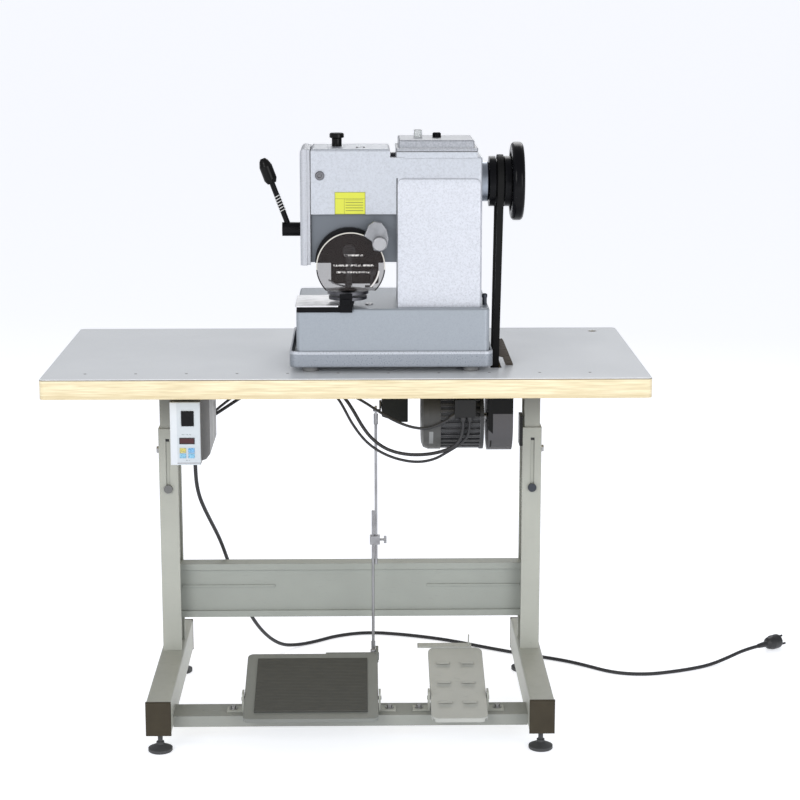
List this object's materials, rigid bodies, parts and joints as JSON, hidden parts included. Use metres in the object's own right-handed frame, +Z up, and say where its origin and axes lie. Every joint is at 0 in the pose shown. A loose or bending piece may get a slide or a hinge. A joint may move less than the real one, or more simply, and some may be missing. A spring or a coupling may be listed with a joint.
{
  "type": "overseaming sewing machine on a stand",
  "caption": "Seaming machine for leather and fur edges on a height-adjustable table, with handwheel, belt-driven motor, control box, guard and foot pedals.",
  "frame": {"origin": "centre of the bounding box at floor level, measured without the cords", "axes": "+Z up, +Y to the back of the table, +X to the operator's right"},
  "size_m": [1.6173, 0.7692, 1.2325],
  "materials": {
    "stand_paint": "semi-gloss grey-green paint",
    "cap_plastic": "moulded, fine texture",
    "foot_rubber": "matt",
    "head_paint": "light silver-grey hammertone, fine speckle",
    "base_paint": "smooth silver-grey satin paint",
    "plain_steel": "ground",
    "bright_chrome": "polished",
    "dark_steel": "blackened",
    "black_gloss": "gloss black",
    "black_plastic": "fine texture",
    "knob_plastic": "polished",
    "table_wood": "pale laminate top, light wood edge",
    "guard_brown": "gloss brown",
    "belt_rubber": "matt",
    "cup_glass": "clear",
    "smoke_shield": "smoked clear plastic",
    "silver_casting": "satin casting",
    "motor_black": "satin dark grey",
    "motor_alloy": "as extruded",
    "box_grey": "satin grey",
    "panel_white": "satin",
    "panel_colours": "printed membrane",
    "switch_black": "moulded",
    "mat_rubber": "ribbed",
    "pedal_paint": "light grey paint",
    "cord_black": "matt jacket"
  },
  "bodies": {
    "stand": {"base_bars": "stand_paint", "stand_plastics": "cap_plastic", "outer_posts": "stand_paint", "crossbeam": "stand_paint", "pedal_rail": "stand_paint", "levelling_feet": "foot_rubber", "pedal_brackets": "stand_paint", "stand_bolts": "dark_steel"},
    "table": {"inner_posts": "stand_paint", "fasteners": "plain_steel", "table_board": "table_wood", "belt_slot_guard": "guard_brown", "foot_pads": "foot_rubber", "oil_tray": "base_paint", "base_casting": "base_paint", "head_casting": "head_paint", "face_cover": "head_paint", "column_lid": "head_paint", "sight_cup": "cup_glass", "shaft_collar": "black_gloss", "work_plate": "plain_steel", "front_bracket": "black_gloss", "needle_housing": "dark_steel", "belt": "belt_rubber", "motor_body": "motor_alloy", "motor_bell": "motor_black", "belt_guard": "box_grey", "under_table_brackets": "box_grey", "control_box": "box_grey", "control_panel": "panel_white", "panel_inserts": "panel_colours", "speed_box": "black_plastic", "cable_fittings": "black_plastic", "mains_cord": "cord_black", "mains_plug": "cord_black", "signal_lead": "cord_black", "power_lead": "cord_black", "sensor_lead": "cord_black"},
    "shaft": {"main_shaft": "plain_steel", "pulley": "black_gloss", "handwheel": "black_gloss"},
    "motor_pulley": {"motor_pulley": "plain_steel"},
    "upper_disc": {"upper_feed_disc": "bright_chrome"},
    "lower_disc": {"lower_feed_disc": "bright_chrome"},
    "needle_arm": {"needle_arm": "plain_steel", "needle": "bright_chrome"},
    "looper": {"looper": "bright_chrome"},
    "lever": {"hand_lever": "black_gloss", "lever_knob": "knob_plastic"},
    "guard": {"guard_shield": "smoke_shield", "guard_arm": "silver_casting"},
    "guard_knob": {"guard_knob": "silver_casting"},
    "top_knob": {"top_knob": "knob_plastic"},
    "treadle": {"treadle_plate": "pedal_paint", "treadle_mat": "mat_rubber"},
    "lower_rod": {"lower_rod": "plain_steel"},
    "upper_rod": {"upper_rod": "plain_steel"},
    "speed_lever": {"speed_lever": "dark_steel"},
    "second_pedal": {"second_pedal": "pedal_paint"},
    "rocker": {"rocker_switch": "switch_black"}
  },
  "joints": [
    {"name": "table_height", "type": "slide", "parent": "stand", "child": "table", "axis": [0, 0, 1], "range_m": [0, 0.06]},
    {"name": "shaft_spin", "type": "hinge", "parent": "table", "child": "shaft", "pos_m": [0.28, -0.1175, 1.13], "axis": [1, 0, 0], "continuous": true},
    {"name": "motor_spin", "type": "hinge", "parent": "table", "child": "motor_pulley", "pos_m": [0.28, -0.1175, 0.65], "axis": [1, 0, 0], "continuous": true},
    {"name": "upper_feed_spin", "type": "hinge", "parent": "table", "child": "upper_disc", "pos_m": [0.003, -0.1725, 0.92], "axis": [0, 0, 1], "continuous": true},
    {"name": "lower_feed_spin", "type": "hinge", "parent": "table", "child": "lower_disc", "pos_m": [0.003, -0.1725, 0.9], "axis": [0, 0, 1], "continuous": true},
    {"name": "needle_swing", "type": "hinge", "parent": "table", "child": "needle_arm", "pos_m": [0.006, -0.1775, 1], "axis": [0, 1, 0], "range_deg": [-9, 9]},
    {"name": "looper_swing", "type": "hinge", "parent": "table", "child": "looper", "pos_m": [0.052, -0.1775, 0.958], "axis": [0, 1, 0], "range_deg": [-8, 8]},
    {"name": "lever_turn", "type": "hinge", "parent": "table", "child": "lever", "pos_m": [-0.11, -0.1175, 1.035], "axis": [1, 0, 0], "range_deg": [-35, 35]},
    {"name": "guard_swing", "type": "hinge", "parent": "table", "child": "guard", "pos_m": [0.066, -0.211, 1.018], "axis": [0, 1, 0], "range_deg": [0, 80]},
    {"name": "guard_knob_turn", "type": "hinge", "parent": "table", "child": "guard_knob", "pos_m": [0.066, -0.211, 1.018], "axis": [0, 1, 0], "continuous": true},
    {"name": "top_knob_turn", "type": "hinge", "parent": "table", "child": "top_knob", "pos_m": [-0.018, -0.1175, 1.21], "axis": [0, 0, 1], "continuous": true},
    {"name": "treadle_tilt", "type": "hinge", "parent": "stand", "child": "treadle", "pos_m": [-0.075, -0.2395, 0.09], "axis": [1, 0, 0], "range_deg": [-5, 5]},
    {"name": "rod_swing", "type": "hinge", "parent": "treadle", "child": "lower_rod", "pos_m": [0.052, -0.06286, 0.13008], "axis": [1, 0, 0], "range_deg": [-6, 6]},
    {"name": "rod_extend", "type": "slide", "parent": "lower_rod", "child": "upper_rod", "axis": [0, 0, 1], "range_m": [0, 0.06]},
    {"name": "speed_lever_turn", "type": "hinge", "parent": "table", "child": "speed_lever", "pos_m": [0.07, -0.0029, 0.652], "axis": [1, 0, 0], "range_deg": [-16, 16]},
    {"name": "second_pedal_tilt", "type": "hinge", "parent": "stand", "child": "second_pedal", "pos_m": [0.224, -0.2395, 0.09], "axis": [1, 0, 0], "range_deg": [-5, 5]},
    {"name": "rocker_tilt", "type": "hinge", "parent": "table", "child": "rocker", "pos_m": [-0.317, -0.213, 0.669], "axis": [1, 0, 0], "range_deg": [-4, 4]}
  ],
  "couplings": [
    {"joint": "motor_spin", "follows": "shaft_spin", "ratio": 1.823},
    {"joint": "upper_feed_spin", "follows": "shaft_spin", "ratio": 0.05},
    {"joint": "lower_feed_spin", "follows": "shaft_spin", "ratio": -0.05},
    {"joint": "looper_swing", "follows": "needle_swing", "ratio": -0.7},
    {"joint": "rod_swing", "follows": "treadle_tilt", "ratio": -1.0768},
    {"joint": "speed_lever_turn", "follows": "treadle_tilt", "ratio": -2.944},
    {"joint": "rod_extend", "follows": "table_height", "ratio": 1}
  ]
}
